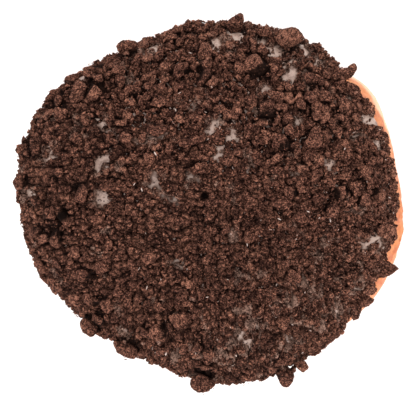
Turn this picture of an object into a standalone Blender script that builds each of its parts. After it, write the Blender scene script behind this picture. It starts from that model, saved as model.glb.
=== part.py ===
"""A round filled doughnut in metres, +Z up, standing on its flat underside at the origin.

The bun is one solid. The icing over its upper side is a second one, and the crushed chocolate
cookie that coats it is fused to it: bumps stand for the fine crumbs and chunks for the coarse.
The doughnut has no hole in its middle, and its filling doesn't show, so the bun is solid."""

import bisect
import math
import random

import bmesh
import bpy
from mathutils import Matrix, Vector, geometry, noise

MM = 0.001

# The bun: its outline from above is a circle with a few shallow waves, each of them given as
# how many times it swells round the bun, by what share of the radius, and the angle of a crest.
BUN_MIDDLE = Vector((2.3, 0.6, 0.0)) * MM  # the coating stands further out on the left
BUN_RADIUS = 41.0 * MM
BUN_WAVES = ((2, 0.056, -6), (3, 0.0195, 48), (4, 0.015, -10), (6, 0.012, -28))
BUN_BULGES = ((36, 0.034, 10), (10, -0.016, 8))  # angle, share of the radius and how many degrees wide
BELT_HEIGHT = 14.5 * MM  # where the bun is widest, at the pale band
DOME_HEIGHT = 18.5 * MM  # from there to the top
DOME_FULLNESS = 2.3  # 2 is an ellipse, and more has squarer shoulders
BASE_SHARE = 0.55  # the flat underside's share of the radius
BASE_FULLNESS = 2.1
SWELLS = ((3, 0.010, 40), (5, 0.006, -20))  # shallow lumps over the dome, as in the waves
BUN_COLUMNS = 72
BUN_ROWS_ABOVE = 11
BUN_ROWS_BELOW = 7

# The icing: it reaches below the belt on the left and stops above it on the right, where the
# bun shows. A fall is 0 at the top of the dome, 1 at the belt and 2 at the flat underside.
ICING_THICKNESS = 1.3 * MM
ICING_GAP = 0.6 * MM  # to the corners of the facets inside it, which leaves 0.3 at their middles
ICING_LOW_FALL = 1.07
ICING_HIGH_FALL = 0.74
BARE_SIDE = math.radians(4)
BARE_HALF = math.radians(50)  # how far the bare side runs to either side of its middle
BARE_SHARPNESS = 6
EDGE_WAVES = ((5, 0.022, 4), (8, 0.022, 8), (13, 0.010, 5))
EDGE_BULGES = ((41, -0.050, 8), (19, 0.026, 7), (-12, 0.018, 5), (-39, -0.080, 7))
LIP_REACH = 0.975  # where the icing's outside ends and its lip turns in
LIP_DEPTH = 1.6 * MM  # how far the lip goes in below the bun's surface
CUTTER_COLUMNS = 44
CUTTER_ROWS = 8

# The fine crumbs: bumps in the icing's surface
BED_POINTS = 1200
BED_RING_POINTS = 120
BUMP_SPACING = 4.6 * MM
BUMP_HEIGHT = 1.5 * MM
BUMP_REACH = 0.75  # of the spacing, from a bump's top to its foot

# The coarse crumbs
CRUMB_COUNT = 148
CRUMB_SMALLEST = 3.2 * MM
CRUMB_LARGEST = 6.8 * MM
CRUMB_NARROWEST = 0.65  # share of its length that a crumb is wide
CRUMB_WIDEST = 0.9
CRUMB_CORNERS = 10
CORNER_REACH = (0.8, 1.0)  # how far out its corners may lie, and how far round they stray
CORNER_STRAY = 0.35
CRUMB_LIFT = 0.22  # share of its length that a crumb's middle lies above the icing
CRUMB_STRAY = 0.5  # share of their spacing that crumbs stray from even places
CRUMB_EDGE = 0.97  # share of the way down to the icing's end that they reach
FINE_MIDDLE = Vector((16.0, -13.0)) * MM  # round here the cookie was crushed finer
FINE_REACH = 20.0 * MM
FINE_SHRINK = 0.35
RIM_HOLD = 0.3  # share of its length that a rim crumb may stand out from the icing
RIM_LOWEST = (0.86, 1.02)  # the falls between which crumbs at the widest part sit
RIM_INSET = 0.05  # how far above the icing's end, as a fall
RIM_STEPS = 80
GOLDEN_ANGLE = math.pi * (3 - math.sqrt(5))
SEED = 23

# Crumbs that stand out at the rim or over the bare side, from above, in millimetres:
# x, y, length, width and the angle that the length points to
RIM_CRUMBS = (
    (-4.7, 41.0, 3.2, 2.6, 20),
    (-9.6, 38.8, 2.8, 2.4, 0),
    (6.4, 40.8, 5.4, 4.4, 60),
    (13.1, 39.2, 3.9, 3.4, 10),
    (18.1, 40.0, 3.0, 2.4, 30),
    (18.8, 36.9, 6.2, 5.2, -20),
    (27.0, 34.0, 2.0, 1.8, 70),
    (34.7, 31.0, 3.6, 2.1, 60),
    (31.8, 29.9, 3.6, 2.7, 0),
    (33.6, 26.2, 4.2, 3.2, -30),
    (37.2, 22.3, 3.6, 3.0, 50),
    (43.5, 6.6, 2.4, 2.0, -40),
    (41.7, -7.0, 4.8, 3.4, -8),
    (41.6, -15.9, 6.4, 4.4, -12),
    (38.0, -20.1, 3.8, 3.0, 40),
    (37.0, -23.6, 4.0, 3.2, 35),
    (31.3, -30.1, 2.0, 1.6, -60),
    (20.8, -37.2, 3.2, 2.8, -30),
    (17.4, -39.3, 4.5, 4.0, -35),
    (-1.5, -40.7, 6.0, 5.2, 0),
    (-18.8, -34.0, 4.0, 3.6, -45),
    (-27.8, -28.5, 3.8, 3.2, -45),
    (-43.2, 12.6, 3.6, 3.0, 10),
    (-43.3, 4.4, 4.4, 3.4, 80),
    (-35.8, 24.1, 3.8, 3.0, 40),
    (-32.0, 28.2, 3.4, 2.8, 30),
    (-19.0, 35.2, 5.6, 3.8, 25),
)


def clear_scene():
    for obj in list(bpy.data.objects):
        bpy.data.objects.remove(obj, do_unlink=True)


def waves(angle, rows):
    """The sum of a few waves round the bun, as a share."""
    return sum(share * math.cos(count * (angle - math.radians(crest))) for count, share, crest in rows)


def bulges(angle, rows):
    """The sum of a few bell-shaped swells, each in the direction of an angle, as a share."""
    total = 0.0
    for middle, share, width in rows:
        away = math.remainder(angle - math.radians(middle), 2 * math.pi) / math.radians(width)
        total += share * math.exp(-away * away)
    return total


def plan_radius(angle):
    """The bun's radius at the belt, in the direction of an angle from +X."""
    return BUN_RADIUS * (1 + waves(angle, BUN_WAVES) + bulges(angle, BUN_BULGES))


def bun_point(angle, fall):
    """A point of the bun's surface: round by an angle, and down by a fall."""
    turn = min(fall, 1) * math.pi / 2
    swell = 1 + math.sin(2 * turn) * waves(angle, SWELLS)
    if fall <= 1:
        out = math.sin(turn) ** (2 / DOME_FULLNESS) * swell
        height = BELT_HEIGHT + DOME_HEIGHT * max(math.cos(turn), 0.0) ** (2 / DOME_FULLNESS) * swell
    else:
        under = (fall - 1) * math.pi / 2
        out = BASE_SHARE + (1 - BASE_SHARE) * max(math.cos(under), 0.0) ** (2 / BASE_FULLNESS)
        height = BELT_HEIGHT * (1 - math.sin(under) ** (2 / BASE_FULLNESS))
    reach = plan_radius(angle) * out
    return BUN_MIDDLE + Vector((reach * math.cos(angle), reach * math.sin(angle), height))


def bun_normal(angle, fall):
    """The direction that the bun's surface faces there."""
    step = 0.004
    fall = max(fall, 0.02)
    around = bun_point(angle + step, fall) - bun_point(angle - step, fall)
    down = bun_point(angle, fall + step) - bun_point(angle, fall - step)
    return down.cross(around).normalized()


def icing_end(angle):
    """The fall at which the icing stops, in the direction of an angle."""
    aside = math.remainder(angle - BARE_SIDE, 2 * math.pi) / BARE_HALF
    bareness = math.exp(-(aside**BARE_SHARPNESS))
    end = ICING_LOW_FALL + (ICING_HIGH_FALL - ICING_LOW_FALL) * bareness
    return end + waves(angle, EDGE_WAVES) + bulges(angle, EDGE_BULGES)


def area_sums(steps, limit):
    """Falls from 0 to a limit, and for each of them a measure of the surface above it."""
    falls = [limit * i / steps for i in range(steps + 1)]
    points = [bun_point(0, fall) - BUN_MIDDLE for fall in falls]
    sums = [0.0]
    for upper, lower in zip(points, points[1:]):
        sums.append(sums[-1] + (upper.x + lower.x) * (lower - upper).length)
    return falls, sums


FALLS, SUMS = area_sums(steps=300, limit=1.2)


def between(value, known, wanted):
    """Reads one list at a value's place in another, rising one."""
    i = min(max(bisect.bisect_right(known, value), 1), len(known) - 1)
    share = (value - known[i - 1]) / (known[i] - known[i - 1])
    return wanted[i - 1] + share * (wanted[i] - wanted[i - 1])


def even_fall(reach, angle):
    """The fall for a reach of 0 to 1 down the icing, so that places even on a disc stay even on it."""
    whole = between(icing_end(angle), FALLS, SUMS)
    return between(min(reach, 1) ** 2 * whole, SUMS, FALLS)


def fineness(place):
    """How finely the cookie was crushed there, from 0 to 1, by distance from the finest place."""
    away = (Vector(place[:2]) - FINE_MIDDLE).length / FINE_REACH
    return math.exp(-away * away)


def bump(place):
    """The height of the packed fine crumbs there: a rounded bump round each point of a cell pattern."""
    nearest = noise.voronoi(place / BUMP_SPACING)[0][0]
    height = BUMP_HEIGHT * max(0.0, 1 - (nearest / BUMP_REACH) ** 2)
    return height * (1 - FINE_SHRINK * fineness(place))


def sunflower(count):
    """Evenly spaced places on a unit disc, each as its distance and angle from the middle."""
    return [(math.sqrt((i + 0.5) / count), i * GOLDEN_ANGLE) for i in range(count)]


def new_object(name, mesh_data):
    mesh = bpy.data.meshes.new(name)
    mesh_data.to_mesh(mesh)
    mesh_data.free()
    obj = bpy.data.objects.new(name, mesh)
    bpy.context.scene.collection.objects.link(obj)
    return obj


def ring_solid(name, rings, top):
    """A closed solid of rings of points, joined from the underside up to one point at the top."""
    bm = bmesh.new()
    loops = [[bm.verts.new(point) for point in ring] for ring in rings]
    bm.faces.new(reversed(loops[0]))
    for lower, upper in zip(loops, loops[1:]):
        for i, vert in enumerate(lower):
            after = (i + 1) % len(lower)
            bm.faces.new((vert, lower[after], upper[after], upper[i]))
    peak = bm.verts.new(top)
    last = loops[-1]
    for i, vert in enumerate(last):
        bm.faces.new((vert, last[(i + 1) % len(last)], peak))
    return new_object(name, bm)


def bun_solid(name, columns, rows_above, rows_below, grow=0.0):
    """The bun, or a copy of it grown outwards by a distance."""
    falls = [2 - i / rows_below for i in range(rows_below)] + [1 - i / rows_above for i in range(rows_above)]
    rings = []
    for fall in falls:
        angles = [2 * math.pi * i / columns for i in range(columns)]
        rings.append([bun_point(a, fall) + grow * bun_normal(a, fall) for a in angles])
    top = bun_point(0, 0) + Vector((0, 0, grow))
    return ring_solid(name, rings, top)


def icing_point(reach, angle):
    """A point of the coated icing's surface. A reach is 0 at the top and 1 at the lip's inner end."""
    fall = even_fall(reach / LIP_REACH, angle)
    place = bun_point(angle, fall)
    lift = ICING_THICKNESS + bump(place) if reach <= LIP_REACH else -LIP_DEPTH
    return place + lift * bun_normal(angle, fall)


def icing_blank():
    """The icing with its bumps, as a solid that reaches into the bun: triangles between even points."""
    flat = [(r * (2 * LIP_REACH - 1), a) for r, a in sunflower(BED_POINTS)]
    for reach in (LIP_REACH, 1.0):
        flat += [(reach, 2 * math.pi * i / BED_RING_POINTS) for i in range(BED_RING_POINTS)]
    on_disc = [Vector((r * math.cos(a), r * math.sin(a))) for r, a in flat]
    _, _, triangles, _, _, _ = geometry.delaunay_2d_cdt(on_disc, [], [], 0, 1e-7)
    bm = bmesh.new()
    points = [bm.verts.new(icing_point(r, a)) for r, a in flat]
    for triangle in triangles:
        bm.faces.new([points[i] for i in triangle])
    inside = bm.verts.new(BUN_MIDDLE + Vector((0, 0, BELT_HEIGHT)))
    lip = points[-BED_RING_POINTS:]
    for i, vert in enumerate(lip):
        bm.faces.new((lip[(i + 1) % len(lip)], vert, inside))
    bmesh.ops.recalc_face_normals(bm, faces=bm.faces)
    return new_object("icing", bm)


def crumb(middle, length, width, facing, turn, rng):
    """One broken chunk of cookie: the hull of a few corners spread over a stretched ball."""
    bm = bmesh.new()
    for i in range(CRUMB_CORNERS):
        height = 1 - 2 * (i + 0.5) / CRUMB_CORNERS
        around = i * GOLDEN_ANGLE + rng.uniform(-CORNER_STRAY, CORNER_STRAY)
        across = math.sqrt(1 - height * height)
        stretch = rng.uniform(*CORNER_REACH) / 2
        corner = (across * math.cos(around) * length, across * math.sin(around) * width, height * width)
        bm.verts.new(Vector(corner) * stretch)
    hull = bmesh.ops.convex_hull(bm, input=bm.verts)
    bmesh.ops.delete(bm, geom=hull["geom_interior"] + hull["geom_unused"], context="VERTS")
    bmesh.ops.recalc_face_normals(bm, faces=bm.faces)
    lean = facing.to_track_quat("Z", "Y").to_matrix().to_4x4()
    bm.transform(Matrix.Translation(middle) @ lean @ Matrix.Rotation(turn, 4, "Z"))
    return new_object("crumb", bm)


def rim_crumb_seat(x, y, length, lowest):
    """Where a rim crumb sits: the icing's surface below its place from above, or beside its end."""
    level = Vector((x, y, 0)) * MM - BUN_MIDDLE
    angle = math.atan2(level.y, level.x)
    lowest = min(lowest, icing_end(angle) - RIM_INSET)
    for i in range(RIM_STEPS):
        fall = lowest * (i + 1) / RIM_STEPS
        seat = bun_point(angle, fall) + ICING_THICKNESS * bun_normal(angle, fall)
        beyond = level.length - (seat - BUN_MIDDLE).xy.length
        if beyond <= 0:
            break
    hold = min(max(beyond, 0), RIM_HOLD * length * MM)
    return seat + hold * level.normalized()


def rim_crumbs(rng):
    upright = Vector((0, 0, 1))
    made = []
    for x, y, length, width, turn in RIM_CRUMBS:
        middle = rim_crumb_seat(x, y, length, rng.uniform(*RIM_LOWEST))
        made.append(crumb(middle, length * MM, width * MM, upright, math.radians(turn), rng))
    return made


def scattered_crumbs(rng):
    """Coarse crumbs spread evenly over the icing, the largest first, smaller where it is finer."""
    places = sunflower(CRUMB_COUNT)
    order = list(range(CRUMB_COUNT))
    rng.shuffle(order)
    made = []
    for rank, index in enumerate(order):
        reach, angle = places[index]
        angle += rng.uniform(-CRUMB_STRAY, CRUMB_STRAY) / max(reach * math.sqrt(CRUMB_COUNT), 1)
        fall = even_fall(reach * CRUMB_EDGE, angle)
        seat = bun_point(angle, fall)
        facing = bun_normal(angle, fall)
        share = rank / CRUMB_COUNT
        length = CRUMB_LARGEST + (CRUMB_SMALLEST - CRUMB_LARGEST) * math.sqrt(share)
        length *= 1 - FINE_SHRINK * fineness(seat)
        width = length * rng.uniform(CRUMB_NARROWEST, CRUMB_WIDEST)
        middle = seat + (ICING_THICKNESS + CRUMB_LIFT * length) * facing
        made.append(crumb(middle, length, width, facing, rng.uniform(0, math.pi), rng))
    return made


def apply_boolean(obj, operation, others):
    """Joins other solids to this one, or cuts them from it, and removes them."""
    group = bpy.data.collections.new("others")
    for other in others:
        group.objects.link(other)
    modifier = obj.modifiers.new("boolean", "BOOLEAN")
    modifier.operation = operation
    modifier.operand_type = "COLLECTION"
    modifier.collection = group
    modifier.solver = "EXACT"
    graph = bpy.context.evaluated_depsgraph_get()
    result = bpy.data.meshes.new_from_object(obj.evaluated_get(graph))
    obj.modifiers.clear()
    obj.data = result
    for other in others:
        bpy.data.objects.remove(other, do_unlink=True)
    bpy.data.collections.remove(group)


def keep_largest_body(obj):
    """Drops loose scraps and fills sealed hollows: only the largest closed surface stays."""
    bm = bmesh.new()
    bm.from_mesh(obj.data)
    bm.verts.ensure_lookup_table()
    seen, bodies = set(), []
    for start in bm.verts:
        if start in seen:
            continue
        body, front = [], [start]
        seen.add(start)
        while front:
            vert = front.pop()
            body.append(vert)
            for edge in vert.link_edges:
                other = edge.other_vert(vert)
                if other not in seen:
                    seen.add(other)
                    front.append(other)
        bodies.append(body)
    bodies.sort(key=len)
    spare = [vert for body in bodies[:-1] for vert in body]
    bmesh.ops.delete(bm, geom=spare, context="VERTS")
    bm.to_mesh(obj.data)
    bm.free()


def material(name, colour, roughness):
    made = bpy.data.materials.new(name)
    made.use_nodes = True
    shader = made.node_tree.nodes["Principled BSDF"]
    shader.inputs["Base Color"].default_value = (*colour, 1)
    shader.inputs["Roughness"].default_value = roughness
    shader.inputs["Metallic"].default_value = 0.0
    return made


def make_bun():
    bun = bun_solid("dough", BUN_COLUMNS, BUN_ROWS_ABOVE, BUN_ROWS_BELOW)
    bun.data.materials.append(material("fried dough", (0.76, 0.35, 0.18), 0.55))
    bun.data.shade_smooth()
    bun.data.set_sharp_from_angle(angle=math.radians(50))
    return bun


def make_icing():
    rng = random.Random(SEED)
    icing = icing_blank()
    apply_boolean(icing, "UNION", rim_crumbs(rng) + scattered_crumbs(rng))
    hollow = bun_solid("hollow", CUTTER_COLUMNS, CUTTER_ROWS, CUTTER_ROWS, grow=ICING_GAP)
    apply_boolean(icing, "DIFFERENCE", [hollow])
    keep_largest_body(icing)
    icing.data.materials.clear()
    icing.data.materials.append(material("cookie crumbs", (0.09, 0.043, 0.031), 0.85))
    return icing


clear_scene()
make_bun()
make_icing()
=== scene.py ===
import itertools
import math

import bpy
import numpy as np
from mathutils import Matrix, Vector


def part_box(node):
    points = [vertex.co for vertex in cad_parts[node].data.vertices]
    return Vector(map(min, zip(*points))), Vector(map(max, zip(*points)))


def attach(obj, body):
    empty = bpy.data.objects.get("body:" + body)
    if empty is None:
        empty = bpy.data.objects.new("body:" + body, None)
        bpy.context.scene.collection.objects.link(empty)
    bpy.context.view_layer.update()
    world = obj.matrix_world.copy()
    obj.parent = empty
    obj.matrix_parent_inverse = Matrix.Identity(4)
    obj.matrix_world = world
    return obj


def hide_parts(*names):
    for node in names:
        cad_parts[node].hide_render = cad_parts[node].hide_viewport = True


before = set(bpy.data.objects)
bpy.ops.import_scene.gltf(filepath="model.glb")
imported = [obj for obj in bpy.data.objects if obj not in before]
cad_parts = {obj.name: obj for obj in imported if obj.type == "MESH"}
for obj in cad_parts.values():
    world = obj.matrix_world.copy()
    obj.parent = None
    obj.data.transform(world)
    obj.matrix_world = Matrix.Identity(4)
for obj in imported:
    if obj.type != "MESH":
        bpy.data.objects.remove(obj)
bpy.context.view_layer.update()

# A filled doughnut, iced and rolled in crushed chocolate cookie, seen from straight above.
# Heights over the bun's skin and places on the coat are in millimetres, and meshes in metres.

mm = 0.001
chance = np.random.default_rng(41)


view = {
    "aim": (-0.0001, -0.0013),   # what the middle of the picture looks at
    "seen": 0.09626,             # metres across the picture at the belt
    "away": 0.62,                # from the floor to the camera
    "sensor": 36.0,
}


# Noise for whole arrays of points

def cellChance(cells, seed):
    # a repeatable number from 0 to 1 for each cell: the fraction of a large sine of its place
    stride = np.array([127.1, 311.7, 74.7])[:cells.shape[1]]
    wave = np.sin(cells @ stride + seed * 17.13) * 43758.5453
    return wave - np.floor(wave)


def softNoise(points, spacing, seed):
    # chances at the corners of a lattice, blended smoothly between them: from -1 to 1
    place = points / spacing
    corner = np.floor(place)
    share = place - corner
    share = share * share * (3 - 2 * share)
    total = np.zeros(len(points))
    for step in itertools.product((0, 1), repeat=points.shape[1]):
        weight = np.prod(np.where(step, share, 1 - share), axis=1)
        total += weight * cellChance(corner + step, seed)
    return 2 * total - 1


def packedBlocks(points, spacing, seed):
    # uneven cells that fill the plane, each with a height and a slope of its own: gives that height
    # as a share, and the distance to the next cell in the unit of the points
    place = points / spacing
    corner = np.floor(place)
    first = np.full(len(points), 9.0)
    second = np.full(len(points), 9.0)
    rise = np.zeros(len(points))
    for step in itertools.product((-1, 0, 1), repeat=2):
        cell = corner + step
        chances = [cellChance(cell, seed + i) for i in range(1, 6)]
        offset = place - cell - 0.1 - 0.8 * np.stack(chances[:2], axis=1)
        away = np.hypot(offset[:, 0], offset[:, 1])
        own = chances[4] + offset[:, 0] * (chances[2] - 0.5) + offset[:, 1] * (chances[3] - 0.5)
        nearer = away < first
        second = np.where(nearer, first, np.minimum(second, away))
        rise = np.where(nearer, own, rise)
        first = np.where(nearer, away, first)
    return rise, (second - first) * spacing


def easeStep(value, start, end):
    # 0 up to the start, 1 from the end on, and a smooth cubic between them
    share = np.clip((value - start) / (end - start), 0, 1)
    return share * share * (3 - 2 * share)


# The bun's form, in the CAD's own terms: a fall is 0 at the top of the dome, 1 at the belt,
# 2 at the rim of the flat underside and 3 at its middle

bunForm = {
    # of the outline: how many waves, share of the radius and angle of a crest
    "waves": ((2, 0.056, -6), (3, 0.0195, 48), (4, 0.015, -10), (6, 0.012, -28)),
    "bulges": ((36, 0.034, 10), (10, -0.016, 8)),    # angle, share of the radius and degrees wide
    "swells": ((3, 0.010, 40), (5, 0.006, -20)),     # of the dome, halfway up, in the same way
    "beltShare": 14.5 / 33,      # of the bun's height
    "domeFullness": 2.3,
    "baseShare": 0.55,           # of the bun's radius
    "baseFullness": 2.1,
}

coatForm = {
    "icing": 1.3,                # mm thick
    "thins": (0.8, 1.0),         # shares of the disc's radius between which it thins out,
    "thinner": 0.7,              # by so many mm
    "thicker": (                 # at the rim: angle, mm and degrees wide
        (171, 0.9, 9), (191, 0.9, 10), (80, -0.5, 7), (50, -0.5, 6), (320, -0.4, 7),
    ),
    "lowFall": 1.07,             # where the coat ends on most sides,
    "highFall": 0.765,           # and over the bare side
    "bareSide": 4,               # the angle of that side's middle, and half its width
    "bareHalf": 50,
    "bareSharpness": 6,
    "edgeWaves": ((5, 0.022, 4), (8, 0.022, 8), (13, 0.010, 5)),
    "edgeBulges": ((41, -0.050, 8), (19, 0.030, 7), (-12, 0.038, 6), (-39, -0.060, 7)),
    "radius": 50.0,              # mm, of the disc that the coat would cover laid flat
}


def waves(angle, rows):
    # a sum of cosines round the bun, each given as a count, a share and the angle of a crest
    return sum(share * np.cos(count * (angle - math.radians(crest))) for count, share, crest in rows)


def turnFrom(angle, middle):
    # the shorter way round from a middle in degrees, in radians from -pi to pi
    return np.angle(np.exp(1j * (angle - math.radians(middle))))


def bulges(angle, rows):
    # a sum of bell curves round the bun, each given as its middle in degrees, height and width
    return sum(height * np.exp(-(turnFrom(angle, middle) / math.radians(width)) ** 2)
               for middle, height, width in rows)


def outline(angle):
    # the bun's radius at the belt, as a share of its mean radius
    return 1 + waves(angle, bunForm["waves"]) + bulges(angle, bunForm["bulges"])


def fitBun():
    # the middle, radius and heights for which the outline fills the dough's CAD box
    around = np.linspace(0, 2 * np.pi, 1441)
    out = outline(around)
    x, y = out * np.cos(around), out * np.sin(around)
    low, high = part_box("dough")
    radius = (high.x - low.x) / (x.max() - x.min())
    middle = ((low.x + high.x - radius * (x.max() + x.min())) / 2,
              (low.y + high.y - radius * (y.max() + y.min())) / 2)
    return np.array(middle), radius, high.z


bunMiddle, bunRadius, bunTop = fitBun()
beltHeight = bunTop * bunForm["beltShare"]


def bunSurface(angle, fall):
    # a dome and a foot whose sections are superellipses, over an outline with shallow waves
    turn = np.clip(fall, 0, 1) * np.pi / 2
    under = np.clip(fall - 1, 0, 1) * np.pi / 2
    swell = 1 + np.sin(2 * turn) * waves(angle, bunForm["swells"])
    dome = np.sin(turn) ** (2 / bunForm["domeFullness"]) * swell
    rise = np.maximum(np.cos(turn), 0) ** (2 / bunForm["domeFullness"]) * swell
    foot = np.maximum(np.cos(under), 0) ** (2 / bunForm["baseFullness"])
    sunk = np.sin(under) ** (2 / bunForm["baseFullness"])
    share = np.where(fall <= 1, dome, bunForm["baseShare"] + (1 - bunForm["baseShare"]) * foot)
    reach = bunRadius * outline(angle) * share * np.clip(3 - fall, 0, 1)
    height = np.where(fall <= 1, beltHeight + (bunTop - beltHeight) * rise, beltHeight * (1 - sunk))
    x = bunMiddle[0] + reach * np.cos(angle)
    y = bunMiddle[1] + reach * np.sin(angle)
    return np.stack([x, y, height], axis=-1)


def bunFrame(angle, fall):
    # points of the surface, the way round and the way out there, by small steps either side
    step = 0.004
    steady = np.clip(fall, 0.02, 2.98)
    around = bunSurface(angle + step, steady) - bunSurface(angle - step, steady)
    down = bunSurface(angle, steady + step) - bunSurface(angle, steady - step)
    outward = np.cross(down, around)
    outward /= np.linalg.norm(outward, axis=-1, keepdims=True)
    around /= np.linalg.norm(around, axis=-1, keepdims=True)
    return bunSurface(angle, fall), around, outward


def icingEnd(angle):
    # low on most sides, and high over a plateau of angles on the bare side, with a wavy line
    aside = turnFrom(angle, coatForm["bareSide"]) / math.radians(coatForm["bareHalf"])
    slope = coatForm["highFall"] - coatForm["lowFall"]
    fall = coatForm["lowFall"] + slope * np.exp(-np.abs(aside) ** coatForm["bareSharpness"])
    return fall + waves(angle, coatForm["edgeWaves"]) + bulges(angle, coatForm["edgeBulges"])


def areaSums():
    # how much of the bun's surface lies above each fall, ring by ring
    falls = np.linspace(0, 1.3, 500)
    points = bunSurface(np.zeros(len(falls)), falls)
    out = points[:, 0] - bunMiddle[0]
    slant = np.linalg.norm(np.diff(points, axis=0), axis=1)
    return falls, np.concatenate([[0], np.cumsum((out[1:] + out[:-1]) * slant)])


fallTable, areaTable = areaSums()


def edgeShare(flat):
    # how far out on the flat disc a place is: 0 in its middle, and 1 at the coat's edge
    return np.hypot(flat[:, 0], flat[:, 1]) / coatForm["radius"]


def coatPlace(flat):
    # the bun's angle and fall under a place on the flat disc, whose areas match the bun's
    angle = np.arctan2(flat[:, 1], flat[:, 0])
    whole = np.interp(icingEnd(angle), fallTable, areaTable)
    return angle, np.interp(edgeShare(flat) ** 2 * whole, areaTable, fallTable)


def coatPoints(flat, height):
    # the bun's skin lifted outwards by a height in mm
    angle, fall = coatPlace(flat)
    points, around, outward = bunFrame(angle, fall)
    return points + outward * (height * mm)[:, None]


def placeFromAbove(x, y, height=2.0):
    # the place on the flat disc whose coat the camera sees at x and y, in mm at the belt's level:
    # a ray from the camera, followed in a few steps down to the coat
    aim = np.array(view["aim"])
    seen = np.array([x, y]) * mm - aim
    falls = np.linspace(0.01, 1.0, 400)
    level = beltHeight
    for step in range(4):
        spot = aim + seen * (view["away"] - level) / (view["away"] - beltHeight) - bunMiddle
        angle = math.atan2(spot[1], spot[0])
        points, around, outward = bunFrame(np.full(len(falls), angle), falls)
        points = points + outward * height * mm
        out = np.linalg.norm(points[:, :2] - bunMiddle, axis=1)
        past = out >= math.hypot(*spot)
        index = int(np.argmax(past)) if past.any() else len(falls) - 1
        level = points[index, 2]
    whole = np.interp(icingEnd(angle), fallTable, areaTable)
    share = math.sqrt(np.interp(falls[index], fallTable, areaTable) / whole)
    reach = min(share, 0.985) * coatForm["radius"]
    return reach * math.cos(angle), reach * math.sin(angle)


# Where the coat is fine, coarse or missing

coatPattern = {
    "fineMiddle": (16.0, -13.0),    # mm from above: round here the cookie was crushed finer
    "fineReach": 20.0,
    "patches": (                    # bare icing, from above: x, y and width in mm
        (6.4, 39.0, 4.2), (2.4, 37.3, 2.6), (12.0, 37.0, 2.4), (15.6, 35.4, 3.4), (22.3, 35.4, 3.2),
        (25.6, 33.4, 2.6), (19.4, 32.4, 2.2), (18.9, 29.9, 2.8), (28.0, 31.6, 2.0), (13.0, 26.0, 2.0),
        (-12.6, 35.8, 3.0), (-29.7, 29.0, 3.4), (-23.7, 17.9, 2.4), (-24.6, 8.9, 2.6), (-12.1, 4.5, 3.0),
        (-3.8, 6.1, 1.6), (-8.7, 0.8, 1.8), (0.8, 17.5, 2.8), (5.7, 14.9, 2.6), (2.4, 11.2, 2.2),
        (20.2, 18.4, 2.0), (28.3, 8.6, 2.2), (27.6, 25.0, 1.8), (37.8, 19.6, 3.6), (34.2, 15.4, 2.0),
        (-41.3, 1.7, 3.0), (-36.7, 11.2, 2.4), (-24.9, 0.6, 2.4), (-7.1, -14.0, 1.8), (38.6, -8.6, 4.6),
        (40.4, -10.0, 2.4), (35.0, -20.2, 2.0), (29.5, -24.6, 2.0), (8.2, -31.6, 2.4), (10.8, -28.3, 1.8),
        (18.4, -32.0, 2.0), (-18.9, -29.3, 1.8), (39.9, 13.6, 2.2),
    ),
    "strayPatches": 30,             # smaller ones, by chance
    "strayWidth": (0.7, 1.3),
    "stretch": (0.65, 1.5),         # how much longer than wide a patch is, by chance
    "ragged": 1.15,                 # mm that a patch's outline wanders
    "bulge": 0.45,                  # mm that the icing stands higher there
    "blocks": (                     # of the bed: spacing, rise, and depth and width of the cracks
        (3.4, 0.8, 0.9, 0.42),
        (1.7, 0.6, 0.6, 0.34),
        (0.85, 0.36, 0.25, 0.25),
    ),
    "halo": 0.9,                    # mm round a patch where its icing is rubbed into the crumbs
    "pits": ((-33.0, -2.9, 3.0), (-1.0, 1.5, 1.8), (20.0, 2.0, 1.8)),    # holes, in the same way, whose darkness is painted shade
    "pitDepth": 1.2,
    "fill": 0.55,                   # mm more of fine crumbs where the coat is packed
    "packed": (20.0, -12.0),        # mm up the picture: loose above, and packed below
}


def fineness(points):
    # a bell over the area where the crumbs are fine: 1 in its middle
    away = (points[:, :2] / mm - np.array(coatPattern["fineMiddle"])) / coatPattern["fineReach"]
    return np.exp(-(away ** 2).sum(1))


def laidPatches():
    # middle, width, direction and stretch of every patch: those seen, and smaller ones by chance
    rows = [(*placeFromAbove(x, y), width) for x, y, width in coatPattern["patches"]]
    strays = coatPattern["strayPatches"]
    reach = coatForm["radius"] * np.sqrt(chance.uniform(0, 0.96, strays))
    turn = chance.uniform(0, 2 * np.pi, strays)
    width = chance.uniform(*coatPattern["strayWidth"], strays)
    rows = np.concatenate([rows, np.stack([reach * np.cos(turn), reach * np.sin(turn), width], axis=1)])
    lie = chance.uniform(0, np.pi, len(rows))
    return np.column_stack([rows, lie, chance.uniform(*coatPattern["stretch"], len(rows))])


patchRows = laidPatches()
pitRows = np.array([(*placeFromAbove(x, y), width) for x, y, width in coatPattern["pits"]])


def bareness(flat, margin=0.0, softness=0.28):
    # 1 inside a bare patch, or within a margin in mm of one, and 0 outside, with a wandering outline
    wander = np.stack([softNoise(flat, 1.1, 5) + 0.6 * softNoise(flat, 0.5, 6),
                       softNoise(flat, 1.1, 7) + 0.6 * softNoise(flat, 0.5, 8)], axis=1)
    place = flat + wander * coatPattern["ragged"]
    most = np.zeros(len(flat))
    for u, v, width, lie, stretch in patchRows:
        away = (place[:, 0] - u) + 1j * (place[:, 1] - v)
        away = away * np.exp(-1j * lie)
        near = np.hypot(away.real / stretch, away.imag * stretch) / (margin + 0.9 * width / 2)
        most = np.maximum(most, easeStep(near, 1 + softness, 1 - softness))
    return most


def pits(flat):
    # 1 in the few holes of the coat, with soft edges, which are painted dark as shade
    most = np.zeros(len(flat))
    for u, v, width in pitRows:
        near = np.hypot(flat[:, 0] - u, flat[:, 1] - v) / (width / 2)
        most = np.maximum(most, easeStep(near, 1.3, 0.5))
    return most


def packing(flat):
    # how firmly the crumbs are packed: little at the top right, and more towards the lower left
    up = flat[:, 1] + 0.35 * flat[:, 0] + 4 * softNoise(flat, 12.0, 61)
    return easeStep(up, *coatPattern["packed"])


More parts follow.
